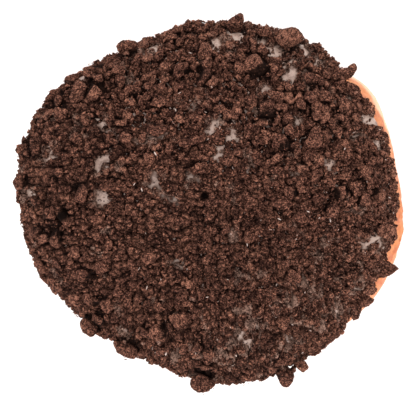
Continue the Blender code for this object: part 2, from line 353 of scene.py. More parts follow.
def icingHeight(flat):
    # a thin layer with slow swells, which bulges up where it is bare and thins out at its edge,
    # apart from some thicker stretches of rim
    outside = easeStep(edgeShare(flat), *coatForm["thins"])
    swells = 0.16 * softNoise(flat, 5.0, 11) + 0.05 * softNoise(flat, 1.4, 12)
    swells += coatPattern["bulge"] * bareness(flat, 0.5, 0.6) - coatPattern["pitDepth"] * pits(flat)
    swells += outside * bulges(np.arctan2(flat[:, 1], flat[:, 0]), coatForm["thicker"])
    return coatForm["icing"] - coatForm["thinner"] * outside + swells


def brokenBed(flat):
    # blocks of three sizes with narrow cracks between them: their height, and 1 in a crack
    bent = flat + 0.3 * np.stack([softNoise(flat, 0.9, 26), softNoise(flat, 0.9, 27)], axis=1)
    height = np.zeros(len(flat))
    crack = np.zeros(len(flat))
    for i, (spacing, rise, depth, width) in enumerate(coatPattern["blocks"]):
        own, away = packedBlocks(bent, spacing, 70 + 10 * i)
        gap = np.exp(-(away / width) ** 2)
        height += rise * own - depth * gap
        crack = np.maximum(crack, gap * min(depth / 0.6, 1))
    return height, crack


def bedHeight(flat):
    # broken blocks over the icing, which sink below it in the bare patches and pits
    outside = easeStep(edgeShare(flat), *coatForm["thins"])
    relief = np.maximum((0.3 + brokenBed(flat)[0]) * (1 - 0.65 * outside), 3 * (outside - 1))
    height = icingHeight(flat) + 0.1 + relief + coatPattern["fill"] * packing(flat) * (1 - outside)
    return height - 3.6 * bareness(flat)


# Objects, and meshes from arrays

def addObject(name, data):
    # a new object in the scene
    made = bpy.data.objects.new(name, data)
    bpy.context.scene.collection.objects.link(made)
    return made


def addMesh(name, points, quads, triangles, material, smooth=True, values=None):
    # a mesh from arrays of points and faces, with a number at each point for every named value
    corners = np.concatenate([np.ravel(quads), np.ravel(triangles)]).astype(np.int32)
    sizes = np.concatenate([np.full(len(quads), 4), np.full(len(triangles), 3)])
    mesh = bpy.data.meshes.new(name)
    mesh.vertices.add(len(points))
    mesh.vertices.foreach_set("co", np.asarray(points, np.float32).ravel())
    mesh.loops.add(len(corners))
    mesh.loops.foreach_set("vertex_index", corners)
    mesh.polygons.add(len(sizes))
    mesh.polygons.foreach_set("loop_start", (np.cumsum(sizes) - sizes).astype(np.int32))
    mesh.polygons.foreach_set("use_smooth", np.full(len(sizes), smooth))
    mesh.update(calc_edges=True)
    for key, numbers in (values or {}).items():
        layer = mesh.attributes.new(key, "FLOAT", "POINT")
        layer.data.foreach_set("value", np.asarray(numbers, np.float32))
    mesh.materials.append(material)
    piece = addObject(name, mesh)
    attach(piece, "root")
    print(name, len(quads) * 2 + len(triangles), "triangles")
    return piece


def ringFaces(rings, columns, first=0):
    # quads between rings of points that lie one below the other, each ring of as many columns
    row, column = np.meshgrid(np.arange(rings - 1), np.arange(columns), indexing="ij")
    here = first + row * columns + column
    after = first + row * columns + (column + 1) % columns
    return np.stack([here, here + columns, after + columns, after], axis=-1).reshape(-1, 4)


def poleFaces(rings, columns, first, top, bottom):
    # triangles from the first ring up to a point, and from the last ring down to another
    column = np.arange(columns)
    after = (column + 1) % columns
    last = first + (rings - 1) * columns
    return np.concatenate([np.stack([np.full(columns, top), first + column, first + after], axis=1),
                           np.stack([np.full(columns, bottom), last + after, last + column], axis=1)])


# Shader groups and materials

def newGroup(name, inputs, outputs):
    # an empty group with its named sockets, each given with its kind
    group = bpy.data.node_groups.new(name, "ShaderNodeTree")
    for way, rows in (("INPUT", inputs), ("OUTPUT", outputs)):
        for key, kind in rows.items():
            group.interface.new_socket(key, in_out=way, socket_type="NodeSocket" + kind)
    start = group.nodes.new("NodeGroupInput")
    end = group.nodes.new("NodeGroupOutput")
    return group, start.outputs, end.inputs


class Nodes:
    # short calls for the nodes of one tree, each of which takes sockets or plain numbers
    def __init__(self, tree):
        self.tree = tree

    def make(self, kind, inputs, **settings):
        node = self.tree.nodes.new(kind)
        for key, value in settings.items():
            setattr(node, key, value)
        for key, value in inputs.items():
            if isinstance(value, bpy.types.NodeSocket):
                self.tree.links.new(value, node.inputs[key])
            else:
                node.inputs[key].default_value = value
        return node

    def noise(self, vector, scale, detail=3.0, rough=0.55):
        inputs = {"Vector": vector, "Scale": scale, "Detail": detail, "Roughness": rough}
        return self.make("ShaderNodeTexNoise", inputs).outputs["Fac"]

    def cells(self, vector, scale, feature="F1"):
        inputs = {"Vector": vector, "Scale": scale}
        return self.make("ShaderNodeTexVoronoi", inputs, feature=feature).outputs

    def red(self, colour):
        return self.make("ShaderNodeSeparateColor", {"Color": colour}).outputs[0]

    def attribute(self, name):
        return self.make("ShaderNodeAttribute", {}, attribute_name=name).outputs["Fac"]

    def moved(self, vector, by, amount):
        # a vector with a share of another one added
        part = self.make("ShaderNodeVectorMath", {0: by, "Scale": amount}, operation="SCALE").outputs[0]
        return self.make("ShaderNodeVectorMath", {0: vector, 1: part}, operation="ADD").outputs[0]

    def math(self, operation, a, b=0.0):
        return self.make("ShaderNodeMath", {0: a, 1: b}, operation=operation).outputs[0]

    def times(self, a, b):
        return self.math("MULTIPLY", a, b)

    def contrasts(self, *rows):
        # the sum of some values that lie round a half, each first taken less that half, times a weight
        parts = [self.times(self.math("SUBTRACT", value, 0.5), weight) for value, weight in rows]
        total = parts[0]
        for part in parts[1:]:
            total = self.math("ADD", total, part)
        return total

    def spread(self, value, low, high, toLow=0.0, toHigh=1.0):
        inputs = {"Value": value, "From Min": low, "From Max": high, "To Min": toLow, "To Max": toHigh}
        return self.make("ShaderNodeMapRange", inputs, interpolation_type="SMOOTHSTEP").outputs["Result"]

    def mix(self, share, a, b):
        # a colour is a socket, or three numbers
        a, b = (colour if isinstance(colour, bpy.types.NodeSocket) else (*colour, 1) for colour in (a, b))
        return self.make("ShaderNodeMix", {0: share, 6: a, 7: b}, data_type="RGBA").outputs[2]

    def ramp(self, value, stops):
        node = self.make("ShaderNodeValToRGB", {"Fac": value})
        band = node.color_ramp
        while len(band.elements) < len(stops):
            band.elements.new(0.5)
        for element, (place, colour) in zip(band.elements, stops):
            element.position = place
            element.color = (*colour, 1)
        return node.outputs["Color"]

    def dress(self, shader, colour, roughness, height, distance, strength=1.0):
        # sends a colour, a roughness and a height, as a bump, to the shader
        inputs = {"Height": height, "Distance": distance, "Strength": strength}
        normal = self.make("ShaderNodeBump", inputs).outputs["Normal"]
        for key, value in (("Base Color", colour), ("Roughness", roughness), ("Normal", normal)):
            self.tree.links.new(value, shader.inputs[key])


def newMaterial(name):
    # a material with its nodes, its shader and the place of each point on the object
    made = bpy.data.materials.new(name)
    made.use_nodes = True
    nodes = Nodes(made.node_tree)
    shader = made.node_tree.nodes["Principled BSDF"]
    place = nodes.make("ShaderNodeTexCoord", {}).outputs["Object"]
    return made, nodes, shader, place


cookie = {
    # the darkest colour: the cookie's own dark pores, and also the painted shade in hollows and cracks
    "poreAndShade": (0.0067, 0.0031, 0.0022),
    "dark": (0.0340, 0.0128, 0.0088),
    "middle": (0.0870, 0.0338, 0.0234),
    "light": (0.1620, 0.0690, 0.0475),
    "grain": (0.3500, 0.1500, 0.0950),
    "smear": (0.3400, 0.2030, 0.1540),
    "scale": ((0.10, "poreAndShade"), (0.30, "dark"), (0.54, "middle"), (0.80, "light"), (1.0, "grain")),
    "lightness": 0.688,          # where on that scale an even crumb lies
    "grains": 3.1,               # how far along the scale the grains spread the colours,
    "specks": 0.3,               # and single specks,
    "mottle": 1.1,               # and slow clouds,
    "tones": 0.55,               # and each crumb's own tone
    "grainScale": 3000,          # per metre: grains about 0.4 mm across
    "bump": 0.00020,
}


def cookieGroup():
    # broken cookie: dark and light grains, a tone for each crumb, cracks, icing rubbed into it, and
    # painted shade in its cracks and hollows
    inputs = {"Vector": "Vector", "Scale": "Float", "Tone": "Float", "Soak": "Float", "ShadeDepth": "Float"}
    outputs = {"Colour": "Color", "Roughness": "Float", "Height": "Float"}
    group, given, result = newGroup("brokenCookie", inputs, outputs)
    nodes = Nodes(group)
    place, scale = given["Vector"], given["Scale"]
    grain = nodes.noise(place, nodes.times(scale, 1.05), 4.0, 0.7)
    mottle = nodes.noise(place, nodes.times(scale, 0.45), 3.0, 0.6)
    cloud = nodes.noise(place, nodes.times(scale, 0.3), 2.0)
    warp = nodes.make("ShaderNodeTexNoise", {"Vector": place, "Scale": scale}).outputs["Color"]
    bent = nodes.moved(place, warp, 0.0003)
    own = nodes.red(nodes.cells(bent, scale)["Color"])
    gap = nodes.spread(nodes.cells(bent, scale, "DISTANCE_TO_EDGE")["Distance"], 0.13, 0.02)
    breaks = nodes.cells(nodes.moved(place, warp, 0.0008), nodes.times(scale, 0.38), "DISTANCE_TO_EDGE")
    crack = nodes.times(nodes.spread(breaks["Distance"], 0.12, 0.02), nodes.spread(cloud, 0.38, 0.52))
    value = nodes.contrasts((own, cookie["specks"]), (grain, cookie["grains"]),
                            (given["Tone"], cookie["tones"]), (mottle, cookie["mottle"]))
    stops = [(stop, cookie[shade]) for stop, shade in cookie["scale"]]
    colour = nodes.ramp(nodes.math("ADD", value, cookie["lightness"]), stops)
    held = nodes.math("ADD", nodes.times(given["ShadeDepth"], 0.45), 0.75)
    pale = nodes.math("ADD", nodes.times(given["Soak"], held), nodes.times(value, 0.7))
    pale = nodes.spread(pale, 0.42, 0.92)
    colour = nodes.mix(nodes.times(pale, 0.9), colour, cookie["smear"])
    # painted shade: the hollows between crumbs and the cracks are darkened to the darkest colour
    hollowShade = nodes.times(given["ShadeDepth"], nodes.math("SUBTRACT", 0.95, nodes.times(pale, 0.75)))
    colour = nodes.mix(hollowShade, colour, cookie["poreAndShade"])
    colour = nodes.mix(nodes.times(crack, 0.85), colour, cookie["poreAndShade"])
    lump = nodes.math("ADD", grain, nodes.times(own, 0.7))
    lump = nodes.math("SUBTRACT", lump, nodes.math("ADD", nodes.times(gap, 0.35), crack))
    nodes.tree.links.new(colour, result["Colour"])
    nodes.tree.links.new(nodes.spread(grain, 0.3, 0.7, 0.95, 0.78), result["Roughness"])
    nodes.tree.links.new(lump, result["Height"])
    return group


def cookieMaterial(name, group, scale, bump):
    # the broken cookie, led by the numbers that each point of the coat and its crumbs carries
    made, nodes, shader, place = newMaterial(name)
    inputs = {"Vector": place, "Scale": scale}
    inputs.update({key: nodes.attribute(key.lower()) for key in ("Tone", "Soak", "ShadeDepth")})
    crumb = nodes.make("ShaderNodeGroup", inputs, node_tree=group).outputs
    nodes.dress(shader, crumb["Colour"], crumb["Roughness"], crumb["Height"], bump)
    shader.inputs["Specular IOR Level"].default_value = 0.04
    return made


icing = {
    "white": (0.35, 0.238, 0.190),
    "stained": (0.18, 0.108, 0.082),
    "speck": (0.07, 0.035, 0.026),
    "cloudScale": 600,           # per metre
    "speckScale": 1500,
    "swellScale": 700,
    "bump": 0.0003,
}


def icingMaterial():
    # set icing, stained by the cookie in clouds and dotted with dust
    made, nodes, shader, place = newMaterial("setIcing")
    cloud = nodes.spread(nodes.noise(place, icing["cloudScale"], 4.0, 0.65), 0.42, 0.66)
    colour = nodes.mix(cloud, icing["white"], icing["stained"])
    dots = nodes.cells(place, icing["speckScale"])
    chosen = nodes.spread(nodes.red(dots["Color"]), 0.70, 0.74)
    dust = nodes.times(chosen, nodes.spread(dots["Distance"], 0.40, 0.26))
    colour = nodes.mix(dust, colour, icing["speck"])
    roughness = nodes.spread(cloud, 0, 1, 0.42, 0.62)
    swells = nodes.noise(place, icing["swellScale"], 3.0)
    nodes.dress(shader, colour, roughness, swells, icing["bump"], 0.5)
    return made


dough = {
    "crust": (0.480, 0.156, 0.040),
    "brown": (0.360, 0.083, 0.019),
    "belt": (0.570, 0.355, 0.212),
    "beltLow": (0.0070, 0.0100),     # between these heights the lower crust turns pale
    "beltHigh": (0.0150, 0.0172),    # and between these the pale belt turns brown again
    "beltRise": 0.0035,              # how much higher it is towards the back
    "backwards": (0.010, 0.022),     # between these distances to the back
    "wander": 0.0030,                # how far those heights wander
    "mottleScale": 420,              # per metre
    "swellScale": 380,
    "skinScale": 1400,
    "bump": 0.0004,
}


def doughMaterial():
    # fried dough: browned above and below, pale round the belt, with a fine wrinkled skin
    made, nodes, shader, place = newMaterial("friedDough")
    parts = nodes.make("ShaderNodeSeparateXYZ", {"Vector": place}).outputs
    drift = nodes.math("SUBTRACT", nodes.noise(place, 160, 4.0, 0.6), 0.5)
    level = nodes.math("ADD", parts["Z"], nodes.times(drift, dough["wander"] * 2))
    rise = nodes.spread(parts["Y"], *dough["backwards"], 0.0, dough["beltRise"])
    level = nodes.math("SUBTRACT", level, rise)
    above = nodes.spread(level, *dough["beltHigh"])
    below = nodes.spread(level, dough["beltLow"][1], dough["beltLow"][0])
    mottle = nodes.spread(nodes.noise(place, dough["mottleScale"], 5.0, 0.65), 0.40, 0.66)
    crust = nodes.mix(mottle, dough["crust"], dough["brown"])
    colour = nodes.mix(nodes.math("MAXIMUM", above, below), dough["belt"], crust)
    skin = nodes.noise(place, dough["skinScale"], 4.0, 0.6)
    swells = nodes.noise(place, dough["swellScale"], 3.0)
    relief = nodes.math("ADD", nodes.times(skin, 0.35), swells)
    nodes.dress(shader, colour, nodes.spread(skin, 0.3, 0.7, 0.62, 0.42), relief, dough["bump"], 0.55)
    shader.inputs["Subsurface Weight"].default_value = 0.12
    shader.inputs["Subsurface Radius"].default_value = (1.0, 0.45, 0.2)
    shader.inputs["Subsurface Scale"].default_value = 0.002
    return made


cream = {
    "white": (0.60, 0.47, 0.41),
    "stained": (0.32, 0.21, 0.17),
    "stainScale": 900,
}


def creamMaterial():
    # the cookie's white filling, with faint brown stains
    made, nodes, shader, place = newMaterial("creamFleck")
    stain = nodes.noise(place, cream["stainScale"], 2.0)
    colour = nodes.mix(stain, cream["white"], cream["stained"])
    nodes.tree.links.new(colour, shader.inputs["Base Color"])
    shader.inputs["Roughness"].default_value = 0.5
    return made


cookieShade = cookieGroup()
coarseCookie = cookieMaterial("coarseCookie", cookieShade, cookie["grainScale"], cookie["bump"])
fineCookie = cookieMaterial("fineCookie", cookieShade, cookie["grainScale"] * 1.2, cookie["bump"] * 0.6)
print("materials made")


# The bun

bunSkin = {
    "columns": 400,
    "domeRows": 100,
    "footRows": 54,
    "baseRows": 8,
    "swell": 0.22,               # mm of slow unevenness
    "wrinkle": 0.07,
    "tornAngle": -9,             # where the skin is torn at the bare side,
    "tornHeight": 18.5,          # how high up in mm, and how far the tear stands out
    "tornRise": 0.55,
}


def makeBun():
    # the CAD's bun, with slow swells, wrinkles and a torn stretch added along its normals
    rows = np.concatenate([np.arange(1, bunSkin["domeRows"]) / bunSkin["domeRows"],
                           1 + np.arange(bunSkin["footRows"]) / bunSkin["footRows"],
                           2 + np.arange(bunSkin["baseRows"]) / bunSkin["baseRows"]])
    columns = bunSkin["columns"]
    fall, angle = np.meshgrid(rows, 2 * np.pi * np.arange(columns) / columns, indexing="ij")
    fall, angle = fall.ravel(), angle.ravel()
    points, around, outward = bunFrame(angle, fall)
    place = points / mm
    lift = bunSkin["swell"] * (softNoise(place, 8.0, 31) + 0.5 * softNoise(place, 3.2, 32))
    crease = 1 - np.abs(softNoise(place * (1, 1, 1.8), 1.6, 33))
    lift += bunSkin["wrinkle"] * (softNoise(place, 0.9, 34) - 1.6 * crease ** 6)
    turned = turnFrom(angle, bunSkin["tornAngle"])
    torn = np.exp(-(turned / 0.16) ** 2 - ((place[:, 2] - bunSkin["tornHeight"]) / 2.6) ** 2)
    lift += torn * bunSkin["tornRise"] * (0.4 + packedBlocks(place[:, 1:], 1.3, 35)[0])
    lift *= easeStep(fall, 2.0, 1.75)
    points = points + outward * (lift * mm)[:, None]
    top = bunSurface(np.zeros(1), np.zeros(1))
    bottom = bunSurface(np.zeros(1), np.full(1, 3.0))
    count = len(points)
    points = np.concatenate([points, top, bottom])
    caps = poleFaces(len(rows), columns, 0, count, count + 1)
    bun = addMesh("doughBun", points, ringFaces(len(rows), columns), caps, doughMaterial())
    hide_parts("dough")


makeBun()


# The icing and the bed of packed crumbs

shells = {
    "icingSquares": 200,
    "bedSquares": 300,
    "innerRings": 4,
    "innerDepth": 0.6,           # mm that their inside lies in the bun
    "bedEnd": 0.99,              # share of the icing's reach
    "lip": 1.4,                  # mm over which they curve down to their edge
}


def coatShell(squares, reachEnd):
    # a square grid bent into a disc for the outside, and rings down to a point for the inside
    side = np.linspace(-1, 1, squares + 1)
    b, a = np.meshgrid(side, side, indexing="ij")
    a, b = a.ravel(), b.ravel()
    wide = np.abs(a) > np.abs(b)
    reach = np.where(wide, a, b)
    ratio = np.where(wide, b, a) / np.where(reach == 0, 1, reach)
    turn = np.where(wide, np.pi / 4 * ratio, np.pi / 2 - np.pi / 4 * ratio)
    flat = np.stack([reach * np.cos(turn), reach * np.sin(turn)], axis=1) * coatForm["radius"] * reachEnd
    row, column = np.meshgrid(np.arange(squares), np.arange(squares), indexing="ij")
    here = (row * (squares + 1) + column).ravel()
    outside = np.stack([here, here + 1, here + squares + 2, here + squares + 1], axis=1)
    step = np.arange(squares)
    last = squares * (squares + 1)
    edge = np.concatenate([step, step * (squares + 1) + squares, last + squares - step,
                           last - step * (squares + 1)])
    count = len(flat)
    innerRings = shells["innerRings"]
    shares = 1 - np.arange(1, innerRings) / innerRings
    inner = (flat[edge][None] * shares[:, None, None]).reshape(-1, 2)
    innerFlat = np.concatenate([inner, [[0.0, 0.0]]])
    rings = np.concatenate([edge, count + np.arange(len(inner))]).reshape(innerRings, -1)
    after = np.roll(rings, -1, axis=1)
    inside = np.stack([rings[1:], after[1:], after[:-1], rings[:-1]], axis=-1).reshape(-1, 4)
    peak = count + len(inner)
    cap = np.stack([np.full(len(edge), peak), after[-1], rings[-1]], axis=1)
    innerPoints = coatPoints(innerFlat, np.full(len(innerFlat), -shells["innerDepth"]))
    return flat, innerPoints, np.concatenate([outside, inside]), cap


def tapered(flat, height, reachEnd):
    # a height that falls to the inside's at the edge, along a quarter of a circle
    depth = shells["innerDepth"]
    share = np.clip((reachEnd - edgeShare(flat)) * coatForm["radius"] / shells["lip"], 0, 1)
    return (height + depth) * np.sqrt(1 - (1 - share) ** 2) - depth


def makeIcing():
    # a closed shell whose outside is the icing's height
    flat, inner, quads, cap = coatShell(shells["icingSquares"], 1.0)
    points = np.concatenate([coatPoints(flat, tapered(flat, icingHeight(flat), 1.0)), inner])
    coat = addMesh("icingCoat", points, quads, cap, icingMaterial())
    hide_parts("icing")


def makeBed():
    # a closed shell whose outside is the bed's height, with painted shade in its cracks and hollows
    end = shells["bedEnd"]
    flat, inner, quads, cap = coatShell(shells["bedSquares"], end)
    full = bedHeight(flat)
    points = np.concatenate([coatPoints(flat, tapered(flat, full, end)), inner])
    # painted shade, from how far a place lies below the blurred pile, from the pits and from the bed's
    # cracks
    shadedepth = np.maximum(shadeDepthAt(flat, full), 0.95 * brokenBed(flat)[1])
    values = {"tone": 0.5 + 0.4 * softNoise(flat, 2.4, 42), "soak": rubbedAt(flat), "shadedepth": shadedepth}
    values = {key: np.concatenate([value, np.zeros(len(inner))]) for key, value in values.items()}
    bed = addMesh("crumbBed", points, quads, cap, coarseCookie, values=values)


# The crumbs lie on a map of the coat's height, which each of them raises where it lies

pile = {
    "step": 0.25,                # mm between the map's points
    "half": 60.0,                # mm from its middle to a side
    "wide": (1.5, 0.05, -1.15),  # a hollow's painted shade: mm round it that are averaged, and mm from the mean at which it starts and is darkest; and the same for a crevice
    "narrow": (0.5, -0.22, -0.8),    # which it starts and is darkest; and the same for a crevice
}
pileCount = int(2 * pile["half"] / pile["step"]) + 1


def startPile():
    # the higher of the icing and the bed at every point of the map
    side = np.linspace(-pile["half"], pile["half"], pileCount)
    v, u = np.meshgrid(side, side, indexing="ij")
    flat = np.stack([u.ravel(), v.ravel()], axis=1)
    iced = tapered(flat, icingHeight(flat), 1.0)
    packed = tapered(flat, bedHeight(flat), shells["bedEnd"])
    return np.maximum(iced, packed).reshape(pileCount, pileCount)


def mapCell(flat):
    # the row and column of the map's point nearest to a place
    cell = ((flat + pile["half"]) / pile["step"]).round().astype(int)
    return tuple(np.moveaxis(np.clip(cell, 0, pileCount - 1), -1, 0))[::-1]


def blurred(field, width):
    # the mean over a square, three times over, along rows and then columns
    half = int(width / pile["step"])
    across = 2 * half + 1
    for axis in (0, 1) * 3:
        margins = [(half + 1, half) if way == axis else (0, 0) for way in (0, 1)]
        sums = np.cumsum(np.pad(field, margins, mode="edge"), axis)
        front = np.take(sums, np.arange(across, sums.shape[axis]), axis)
        back = np.take(sums, np.arange(sums.shape[axis] - across), axis)
        field = (front - back) / across
    return field


def dropCrumb(u, v, length, width, tall, sink, lift=0.0):
    # the height of a crumb's middle where it settles: the mean ground under it, less its sink. The
    # map rises there to a dome over that middle
    row, column = mapCell(np.array([u, v]))
    half = max(int(round(0.5 * math.sqrt(length * width) / pile["step"])), 1)
    lows = slice(max(row - half, 0), row + half + 1), slice(max(column - half, 0), column + half + 1)
    under = pileMap[lows]
    y, x = np.ogrid[lows[0].start - row:lows[0].start - row + under.shape[0],
                    lows[1].start - column:lows[1].start - column + under.shape[1]]
    away = (x * x + y * y) / (half + 0.5) ** 2
    middle = under[away <= 1].mean() + (0.5 - sink) * tall + lift
    dome = middle + 0.45 * tall * np.sqrt(np.maximum(1 - away, 0))
    np.maximum(under, np.where(away < 0.75, dome, under), out=under)
    return middle


def shadeDepthAt(flat, height):
    # how much painted shade a place gets: 1 deep in a hollow between crumbs or in a pit, and 0 up on
    # them; less towards the rim
    hollowShade = 0.12 * easeStep(height - wideLevel[mapCell(flat)], *pile["wide"][1:])
    crevice = easeStep(height - nearLevel[mapCell(flat)], *pile["narrow"][1:])
    rim = easeStep(edgeShare(flat), 0.84, 1.0)
    return np.maximum(np.maximum(hollowShade, crevice) * (1 - 0.45 * rim), 1.1 * pits(flat))


def rubbedAt(flat):
    # how much icing is rubbed into the crumbs: round the bare patches, in a few clouds and, on the
    # lower right, in thin veins
    cloud = easeStep(softNoise(flat, 3.4, 41) + 0.6 * softNoise(flat, 1.3, 43), 0.5, 1.1)
    veins = np.exp(-(softNoise(flat, 2.6, 45) / 0.13) ** 2) * easeStep(flat[:, 0] - flat[:, 1], 5, 40)
    return np.clip(0.9 * bareness(flat, coatPattern["halo"], 0.6) + 0.78 * cloud + 0.8 * veins, 0, 1)


def ballGrid(rows, columns):
    # directions on rings between two poles, every second ring turned by half a step
    polar = np.pi * np.arange(1, rows + 1) / (rows + 1)
    ring, column = np.meshgrid(np.arange(rows), np.arange(columns), indexing="ij")
    turn = 2 * np.pi * (column + 0.5 * (ring % 2)) / columns
    slope = polar[ring]
    grid = np.stack([np.sin(slope) * np.cos(turn), np.sin(slope) * np.sin(turn), np.cos(slope)], axis=-1)
    points = np.concatenate([[[0, 0, 1.0]], grid.reshape(-1, 3), [[0, 0, -1.0]]])
    quads = ringFaces(rows, columns, 1)
    caps = poleFaces(rows, columns, 1, 0, rows * columns + 1)
    return points, np.concatenate([quads[:, :3], quads[:, [0, 2, 3]], caps])


def crumbBodies(directions, rows, kind):
    # balls cut by random planes with barely rounded edges, stretched to size, then chipped: each
    # cell of a bent lattice stands out or in by its own chance. Rim crumbs are cut less
    count = len(rows["length"])
    facing = unit(chance.normal(size=(count, kind["planes"], 3)))
    away = chance.uniform(*kind["cuts"], (count, kind["planes"]))
    away = np.maximum(away, np.where(np.isnan(rows["yaw"]), 0, rimLook["fullness"])[:, None])
    cut = np.maximum(np.einsum("vk,npk->nvp", directions, facing), 0) / away[:, None, :]
    reach = ((cut ** kind["sharp"]).sum(2) + 1) ** (-1 / kind["sharp"])
    shape = directions[None] * reach[:, :, None]
    shape /= np.abs(shape).max(axis=1, keepdims=True)
    shape = shape * np.stack([rows["length"], rows["width"], rows["tall"]], axis=1)[:, None, :] / 2
    if kind["chip"]:
        spot = (shape + chance.uniform(0, 90, (count, 1, 3))).reshape(-1, 3)
        bend = 0.35 * softNoise(spot, 0.8, 51)[:, None]
        stands = cellChance(np.floor((spot + bend) / 0.95), 52)
        stands = stands + 0.7 * cellChance(np.floor((spot - bend) / 0.45), 53)
        shape = shape + unit(shape) * (kind["chip"] * (stands - 0.85)).reshape(count, -1, 1)
    return shape


def settle(kind, placed):
    # drops each crumb, the largest first, at the best of a few places: low, and out of the patches,
    # pits and fine area. Most of those that would lie in a patch are left out, and so are some where
    # the coat is packed, as they are fused to the bed there
    count = kind["count"]
    tries = 4
    reach = kind["reach"] * coatForm["radius"] * np.sqrt(chance.uniform(0, 1, (count, tries)))
    turn = chance.uniform(0, 2 * np.pi, (count, tries))
    offers = np.stack([reach * np.cos(turn), reach * np.sin(turn)], axis=-1)
    every = offers.reshape(-1, 2)
    steps = np.linspace(1, 0, count) ** kind["bias"]
    sizes = kind["smallest"] * (kind["largest"] / kind["smallest"]) ** steps
    fine = fineness(coatPoints(every, np.zeros(count * tries))).reshape(count, tries)
    bare = bareness(every, 0.28 * sizes.mean()).reshape(count, tries)
    holes = pits(every).reshape(count, tries)
    firm = packing(every).reshape(count, tries)
    liking = chance.uniform(0, 1, (count, tries)) + kind["dislike"] * fine + 3 * bare + 3 * holes
    outside = easeStep(reach / coatForm["radius"], 0.76, 0.95) * (sizes > 1.6)[:, None]
    narrow = chance.uniform(*kind["narrow"], count)
    flatness = chance.uniform(*kind["flatness"], count)
    cleared = chance.uniform(0, 1, count)
    rows = {key: [] for key in ("u", "v", "length", "width", "tall", "middle", "yaw")}
    for u, v, length, width, tall, lift, yaw in placed:
        middle = dropCrumb(u, v, length, width, tall, kind["sink"], lift)
        for key, value in zip(rows, (u, v, length, width, tall, middle, yaw)):
            rows[key].append(value)
    for i in range(count):
        best = int(np.argmin(liking[i] + kind["settle"] * pileMap[mapCell(offers[i])]))
        if max(bare[i, best] * kind["clear"], firm[i, best] * kind["fused"]) > cleared[i]:
            continue
        length = sizes[i] * (1 - kind["shrink"] * fine[i, best]) * (1 - 0.15 * outside[i, best])
        width = length * narrow[i]
        tall = width * flatness[i]
        u, v = offers[i, best]
        sink = kind["sink"] + 0.08 * outside[i, best] + 0.1 * firm[i, best]
        middle = dropCrumb(u, v, length, width, tall, sink)
        for key, value in zip(rows, (u, v, length, width, tall, middle, np.nan)):
            rows[key].append(value)
    return {key: np.array(value) for key, value in rows.items()}


def unit(vectors):
    # vectors scaled to a length of 1
    return vectors / np.linalg.norm(vectors, axis=-1, keepdims=True)


def crumbFrames(rows, kind):
    # each crumb's middle, and the directions of its length, width and height
    flat = np.stack([rows["u"], rows["v"]], axis=1)
    angle, fall = coatPlace(flat)
    points, around, outward = bunFrame(angle, fall)
    centre = points + outward * (rows["middle"] * mm)[:, None]
    up = unit(outward + chance.normal(size=centre.shape) * kind["tilt"])
    along = unit(np.cross(up, chance.normal(size=centre.shape)))
    fixed = ~np.isnan(rows["yaw"])
    yaw = rows["yaw"][fixed]
    along[fixed] = np.stack([np.cos(yaw), np.sin(yaw), np.zeros(len(yaw))], axis=1)
    up[fixed] = unit(up[fixed] - along[fixed] * (up[fixed] * along[fixed]).sum(1, keepdims=True))
    return flat, angle, centre, around, outward, along, np.cross(up, along), up


def makeCrumbs(name, kind, rows, material):
    # all the crumbs of a kind as one mesh. Each corner's place on the disc, to read the maps there,
    # is its crumb's place plus the corner's offset down and round the bun
    flat, angle, centre, around, outward, along, across, up = crumbFrames(rows, kind)
    total = len(centre)
    directions, triangles = ballGrid(*kind["grid"])
    shape = crumbBodies(directions, rows, kind)
    offset = np.einsum("nvk,nkp->nvp", shape, np.stack([along, across, up], axis=1))
    corners = len(directions)
    faces = (triangles[None] + corners * np.arange(total)[:, None, None]).reshape(-1, 3)
    outwards = np.stack([np.cos(angle), np.sin(angle)], axis=1)
    sidewards = np.stack([-np.sin(angle), np.cos(angle)], axis=1)
    down = np.cross(around, outward)
    spot = (flat[:, None] + (offset @ down[..., None]) * outwards[:, None]
            + (offset @ around[..., None]) * sidewards[:, None]).reshape(-1, 2)
    height = (rows["middle"][:, None] + (offset @ outward[..., None])[..., 0]).ravel()
    tone = np.repeat(np.clip(chance.normal(kind["tone"], kind["toneSpread"], total), 0, 1), corners)
    # painted shade: hollows and crevices darkened, less so on the rim crumbs that stand free
    share = np.repeat(np.where(np.isnan(rows["yaw"]), 1, rimLook["depth"]), corners)
    values = {"tone": tone, "soak": rubbedAt(spot) * kind["soaks"], "shadedepth": shadeDepthAt(spot, height) * share}
    points = (centre[:, None] + offset * mm).reshape(-1, 3)
    piece = addMesh(name, points, np.zeros((0, 4), int), faces, material, kind["smooth"], values)


rimLook = {
    "fullness": 0.60,            # the nearest that a cut comes to a rim crumb's middle, as a share
    "depth": 0.3,                # how much of a hollow's painted shade reaches one, as they stand free
}

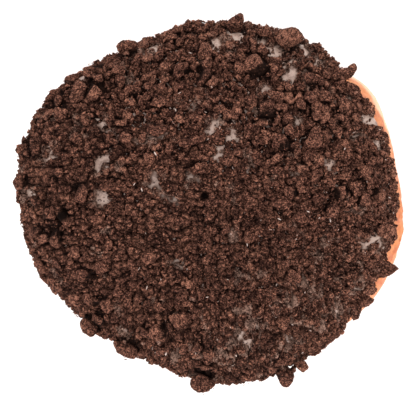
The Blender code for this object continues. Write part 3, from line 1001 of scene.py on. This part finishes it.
rimCrumbs = (   # x, y, length, width and the angle that the length points to, from above
    (-4.7, 41.0, 3.2, 2.6, 20), (-9.4, 38.6, 3.6, 3.0, 0), (-4.6, 40.6, 2.6, 2.2, 70),
    (6.4, 40.8, 5.4, 4.4, 60), (13.1, 39.2, 3.9, 3.4, 10), (18.1, 40.0, 3.0, 2.4, 30),
    (18.8, 36.9, 6.2, 5.2, -20), (27.0, 34.0, 2.0, 1.8, 70), (34.5, 30.8, 4.4, 2.3, 60),
    (31.8, 29.9, 3.6, 2.7, 0), (33.6, 26.2, 4.2, 3.2, -30), (37.2, 22.3, 3.6, 3.0, 50),
    (43.5, 6.6, 2.4, 2.0, -40), (41.2, -7.0, 4.8, 3.6, -8), (42.2, -15.9, 6.4, 4.0, -12),
    (38.0, -20.1, 3.8, 3.0, 40), (37.6, -23.6, 4.8, 4.0, 35), (35.2, -26.2, 3.8, 3.2, 60),
    (31.3, -30.1, 2.0, 1.6, -60), (21.2, -37.2, 4.0, 3.4, -30), (17.2, -39.3, 5.4, 5.0, -35),
    (-0.4, -40.8, 6.8, 5.4, 0), (-18.3, -33.2, 5.4, 4.8, -45), (-27.2, -27.8, 5.2, 4.4, -45),
    (-42.6, 12.6, 3.6, 3.0, 10), (-42.9, 4.4, 4.4, 3.4, 80), (-35.8, 24.1, 3.8, 3.0, 40),
    (-32.0, 28.2, 3.4, 2.8, 30), (-19.0, 35.2, 5.6, 3.8, 25),
)


def placedRim():
    # each rim crumb's place on the coat, size, lift and turn: at the belt the lift moves it outwards
    placed = []
    for x, y, length, width, turn in rimCrumbs:
        loose = 0.8 if length > 1.8 * width else 0.3
        u, v = placeFromAbove(x, y, 3.0)
        points, around, outward = bunFrame(*coatPlace(np.array([[u, v]])))
        wanted = math.hypot(x - bunMiddle[0] / mm, y - bunMiddle[1] / mm)
        sits = np.linalg.norm((points[0] / mm + outward[0] * (1.2 + 0.12 * width))[:2] - bunMiddle / mm)
        lift = np.clip(wanted - sits, -0.4 * length, loose * length) * np.linalg.norm(outward[0, :2])
        placed.append((u, v, length, width, 0.85 * width, lift, math.radians(turn)))
    return placed


looseCrumb = {                   # what most of the kinds share
    "shrink": 0.0,               # how much smaller they are in the fine area
    "narrow": (0.6, 0.95),       # width as a share of the length
    "flatness": (0.6, 1.0),      # height as a share of the width
    "tilt": 2.0,                 # how much they tilt by chance
    "settle": 2.4,               # how much they seek low ground, and keep out of the fine area
    "dislike": -0.3,
    "fused": 0.0,                # how many are fused to a packed bed, or cleared off the patches
    "clear": 1.0,
    "planes": 8,                 # that cut them, how near to their middle, and how sharply
    "cuts": (0.35, 0.8),
    "sharp": 12,
    "chip": 0.0,                 # mm
    "tone": 0.5,
    "soaks": 1.0,                # how much of the icing is rubbed into them
    "smooth": False,             # whether their faces are shaded so
}

# Each has its count, a range of lengths in mm with a bias towards the smaller ones, its reach over
# the disc, how deep it sinks, its rings and columns, and how far its tones vary
crumbKinds = {
    "chunks": dict(
        looseCrumb, count=88, smallest=4.2, largest=6.4, bias=1.5, shrink=0.35, reach=0.9,
        narrow=(0.62, 0.95), flatness=(0.6, 0.85), sink=0.38, tilt=0.2, settle=2.0, dislike=2.0,
        grid=(20, 32), cuts=(0.34, 0.76), sharp=28, chip=0.22, tone=0.48, toneSpread=0.1,
        soaks=0.35, smooth=True),
    "bigCrumbs": dict(
        looseCrumb, count=340, smallest=2.7, largest=4.2, bias=1.2, shrink=0.35, reach=0.97,
        flatness=(0.6, 0.9), sink=0.37, tilt=0.3, settle=2.0, dislike=1.4, fused=0.3,
        grid=(10, 16), cuts=(0.34, 0.76), sharp=26, chip=0.18, tone=0.49, toneSpread=0.12,
        soaks=0.5, smooth=True),
    "midCrumbs": dict(
        looseCrumb, count=900, smallest=1.5, largest=2.7, bias=1.1, shrink=0.3, reach=0.98,
        flatness=(0.65, 0.95), sink=0.34, tilt=0.45, dislike=0.3, fused=0.3, clear=0.97,
        grid=(6, 9), planes=7, sharp=22, chip=0.16, toneSpread=0.15, soaks=0.7, smooth=True),
    "smallCrumbs": dict(
        looseCrumb, count=3000, smallest=0.8, largest=1.5, bias=1.1, shrink=0.1, reach=0.985,
        narrow=(0.55, 0.95), sink=0.42, tilt=0.9, fused=0.2, clear=0.8,
        grid=(4, 7), planes=6, sharp=18, chip=0.06, toneSpread=0.2, soaks=0.9),
    "fineCrumbs": dict(
        looseCrumb, count=5500, smallest=0.4, largest=0.8, bias=1.2, reach=0.968,
        narrow=(0.5, 0.95), sink=0.48, settle=0.6, fused=0.25, clear=0.65,
        grid=(2, 5), planes=6, cuts=(0.35, 0.9), tone=0.47, toneSpread=0.2),
    "dustCrumbs": dict(
        looseCrumb, count=11000, smallest=0.2, largest=0.4, bias=1.0, reach=0.955,
        narrow=(0.5, 0.95), sink=0.35, settle=0.0, clear=0.4,
        grid=(1, 4), planes=5, cuts=(0.35, 0.9), toneSpread=0.22),
}
crumbKinds["creamFlecks"] = dict(crumbKinds["fineCrumbs"], count=110, smallest=0.5, largest=1.4,
                                 narrow=(0.2, 0.36), clear=0.0, sink=0.2)

pileMap = startPile()
crumbRows = {name: settle(kind, placedRim() if name == "chunks" else ())
             for name, kind in crumbKinds.items()}
wideLevel = blurred(pileMap, pile["wide"][0])
nearLevel = blurred(pileMap, pile["narrow"][0])
print("crumbs placed")

makeIcing()
makeBed()
print("icing and bed made")
shades = {"fineCrumbs": fineCookie, "dustCrumbs": fineCookie, "creamFlecks": creamMaterial()}
for crumbName, crumbKind in crumbKinds.items():
    makeCrumbs(crumbName, crumbKind, crumbRows[crumbName], shades.get(crumbName, coarseCookie))


# Floor, light and camera

stage = {
    "floor": 3.0,                # metres across
    "floorColour": (0.90, 0.90, 0.90),
    "sky": (3.4, 0.42),          # strength at the horizon and overhead
    "softboxes": (               # name, place in metres, size and watts
        ("softboxOver", (-0.12, 0.10, 0.9), 0.7, 5.0),
        ("softboxFront", (0.25, -0.75, 0.45), 0.6, 4.0),
    ),
}


def makeStage():
    # one square of floor, a sky that is brighter towards the horizon, and lamps that face the middle
    half = stage["floor"] / 2
    corners = [(-half, -half, 0), (half, -half, 0), (half, half, 0), (-half, half, 0)]
    mesh = bpy.data.meshes.new("floor")
    mesh.from_pydata(corners, [], [(0, 1, 2, 3)])
    floor = addObject("floor", mesh)
    plain, nodes, shader, place = newMaterial("paleFloor")
    shader.inputs["Base Color"].default_value = (*stage["floorColour"], 1)
    shader.inputs["Roughness"].default_value = 0.9
    mesh.materials.append(plain)
    world = bpy.data.worlds.new("paleRoom")
    world.use_nodes = True
    nodes = Nodes(world.node_tree)
    toward = nodes.make("ShaderNodeTexCoord", {}).outputs["Generated"]
    height = nodes.make("ShaderNodeSeparateXYZ", {"Vector": toward}).outputs["Z"]
    strength = nodes.spread(height, 0.0, 1.0, *stage["sky"])
    world.node_tree.links.new(strength, world.node_tree.nodes["Background"].inputs["Strength"])
    world.node_tree.nodes["Background"].inputs["Color"].default_value = (1, 1, 1, 1)
    bpy.context.scene.world = world
    for name, spot, size, power in stage["softboxes"]:
        lamp = bpy.data.lights.new(name, "AREA")
        lamp.size = size
        lamp.energy = power
        box = addObject(name, lamp)
        box.location = spot
        box.rotation_euler = (-Vector(spot)).to_track_quat("-Z", "Y").to_euler()
        box.visible_camera = False


def makeCamera():
    # straight above, with a lens for which the belt's level is as wide in the picture as it should be
    lens = bpy.data.cameras.new("overhead")
    lens.sensor_width = view["sensor"]
    lens.lens = view["sensor"] * (view["away"] - beltHeight) / view["seen"]
    lens.clip_start, lens.clip_end = 0.01, 20.0
    camera = addObject("overhead", lens)
    camera.location = (*view["aim"], view["away"])
    bpy.context.scene.camera = camera
    bpy.context.scene.view_settings.view_transform = "Standard"


makeStage()
makeCamera()
print("stage set")
